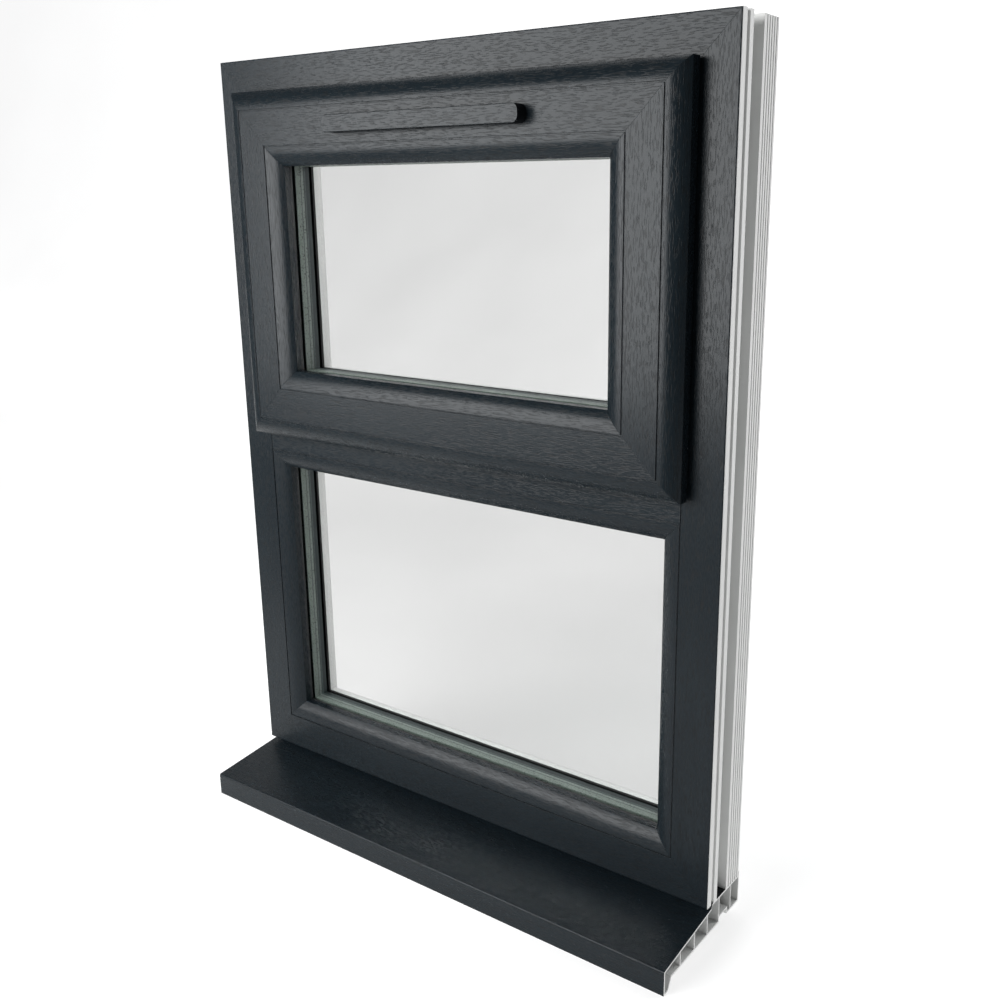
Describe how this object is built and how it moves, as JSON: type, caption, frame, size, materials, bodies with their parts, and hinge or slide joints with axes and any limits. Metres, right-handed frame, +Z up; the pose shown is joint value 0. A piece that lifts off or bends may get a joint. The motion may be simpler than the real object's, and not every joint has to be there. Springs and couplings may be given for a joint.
{
  "type": "top-hung window",
  "caption": "Top-hung window in a foiled plastic frame: an opening sash on friction stays above a fixed light, with double glazing, a vent canopy, a lever lock and a projecting sill.",
  "frame": {"origin": "middle of the sill bed, under the outer face of the frame", "axes": "+X along the window to the right seen from outside, -Y towards the outside, +Z up"},
  "size_m": [0.642, 0.1733, 0.8735],
  "materials": {
    "foiled_plastic": "anthracite wood-grain foil on the outside, bare white plastic on the inside and edges",
    "white_plastic": "satin",
    "white_coated_metal": "satin",
    "glass": "clear float",
    "rubber": "matt black",
    "spacer_bar": "matt",
    "packer": "moulded",
    "stainless_steel": "brushed",
    "galvanised_steel": "zinc"
  },
  "bodies": {
    "frame": {"frame_head": "foiled_plastic", "frame_left_jamb": "foiled_plastic", "frame_right_jamb": "foiled_plastic", "frame_bottom_rail": "foiled_plastic", "transom": "foiled_plastic", "transom_steel": "galvanised_steel", "sill": "foiled_plastic", "fixed_outer_pane": "glass", "fixed_inner_pane": "glass", "fixed_spacer": "spacer_bar", "fixed_sealant": "rubber", "fixed_outer_gasket": "rubber", "fixed_inner_gasket": "rubber", "fixed_packers": "packer", "fixed_top_bead": "white_plastic", "fixed_bottom_bead": "white_plastic", "fixed_left_bead": "white_plastic", "fixed_right_bead": "white_plastic", "left_track": "stainless_steel", "right_track": "stainless_steel", "frame_pivots": "stainless_steel", "track_screws": "stainless_steel", "lock_keeps": "stainless_steel", "keep_screws": "stainless_steel"},
    "left_long_arm": {"left_long_arm": "stainless_steel"},
    "right_long_arm": {"right_long_arm": "stainless_steel"},
    "left_short_arm": {"left_short_arm": "stainless_steel"},
    "right_short_arm": {"right_short_arm": "stainless_steel"},
    "sash": {"sash_top_rail": "foiled_plastic", "sash_bottom_rail": "foiled_plastic", "sash_left_stile": "foiled_plastic", "sash_right_stile": "foiled_plastic", "sash_seal": "rubber", "sash_outer_pane": "glass", "sash_inner_pane": "glass", "sash_spacer": "spacer_bar", "sash_sealant": "rubber", "sash_outer_gasket": "rubber", "sash_inner_gasket": "rubber", "sash_packers": "packer", "sash_top_bead": "white_plastic", "sash_bottom_bead": "white_plastic", "sash_left_bead": "white_plastic", "sash_right_bead": "white_plastic", "left_sash_arm": "stainless_steel", "right_sash_arm": "stainless_steel", "sash_pivot_pins": "stainless_steel", "sash_arm_screws": "stainless_steel", "handle_base": "white_coated_metal", "handle_screws": "stainless_steel", "lock_gearbox": "stainless_steel", "vent_canopy": "foiled_plastic", "vent_housing": "white_plastic"},
    "handle": {"handle_lever": "white_coated_metal", "handle_spindle": "stainless_steel"},
    "lock_bar": {"drive_bar": "stainless_steel", "lock_cams": "stainless_steel"},
    "vent_flap": {"vent_flap": "white_plastic"}
  },
  "joints": [
    {"name": "left_long_arm_pivot", "type": "hinge", "parent": "frame", "child": "left_long_arm", "pos_m": [-0.2545, 0.031, 0.553], "axis": [1, 0, 0], "range_deg": [0, 12.84]},
    {"name": "sash_hinge", "type": "hinge", "parent": "left_long_arm", "child": "sash", "pos_m": [-0.2545, 0.031, 0.751], "axis": [-1, 0, 0], "range_deg": [0, 42.82]},
    {"name": "right_long_arm_pivot", "type": "hinge", "parent": "frame", "child": "right_long_arm", "pos_m": [0.2545, 0.031, 0.553], "axis": [1, 0, 0], "range_deg": [0, 12.84]},
    {"name": "left_short_arm_pivot", "type": "hinge", "parent": "frame", "child": "left_short_arm", "pos_m": [-0.2545, 0.031, 0.731], "axis": [1, 0, 0], "range_deg": [0, 34.63]},
    {"name": "right_short_arm_pivot", "type": "hinge", "parent": "frame", "child": "right_short_arm", "pos_m": [0.2545, 0.031, 0.731], "axis": [1, 0, 0], "range_deg": [0, 34.63]},
    {"name": "handle_turn", "type": "hinge", "parent": "sash", "child": "handle", "pos_m": [0, 0.06, 0.49605], "axis": [0, -1, 0], "range_deg": [0, 90]},
    {"name": "lock_bar_slide", "type": "slide", "parent": "sash", "child": "lock_bar", "axis": [1, 0, 0], "range_m": [0, 0.0181]},
    {"name": "vent_flap_hinge", "type": "hinge", "parent": "sash", "child": "vent_flap", "pos_m": [0, 0.055, 0.77115], "axis": [-1, 0, 0], "range_deg": [0, 60]}
  ],
  "couplings": [
    {"joint": "left_long_arm_pivot", "follows": "sash_hinge", "ratio": 0.29938},
    {"joint": "right_long_arm_pivot", "follows": "sash_hinge", "ratio": 0.29938},
    {"joint": "left_short_arm_pivot", "follows": "sash_hinge", "ratio": 0.80838},
    {"joint": "right_short_arm_pivot", "follows": "sash_hinge", "ratio": 0.80838},
    {"joint": "lock_bar_slide", "follows": "handle_turn", "m_per_rad": 0.011459}
  ]
}
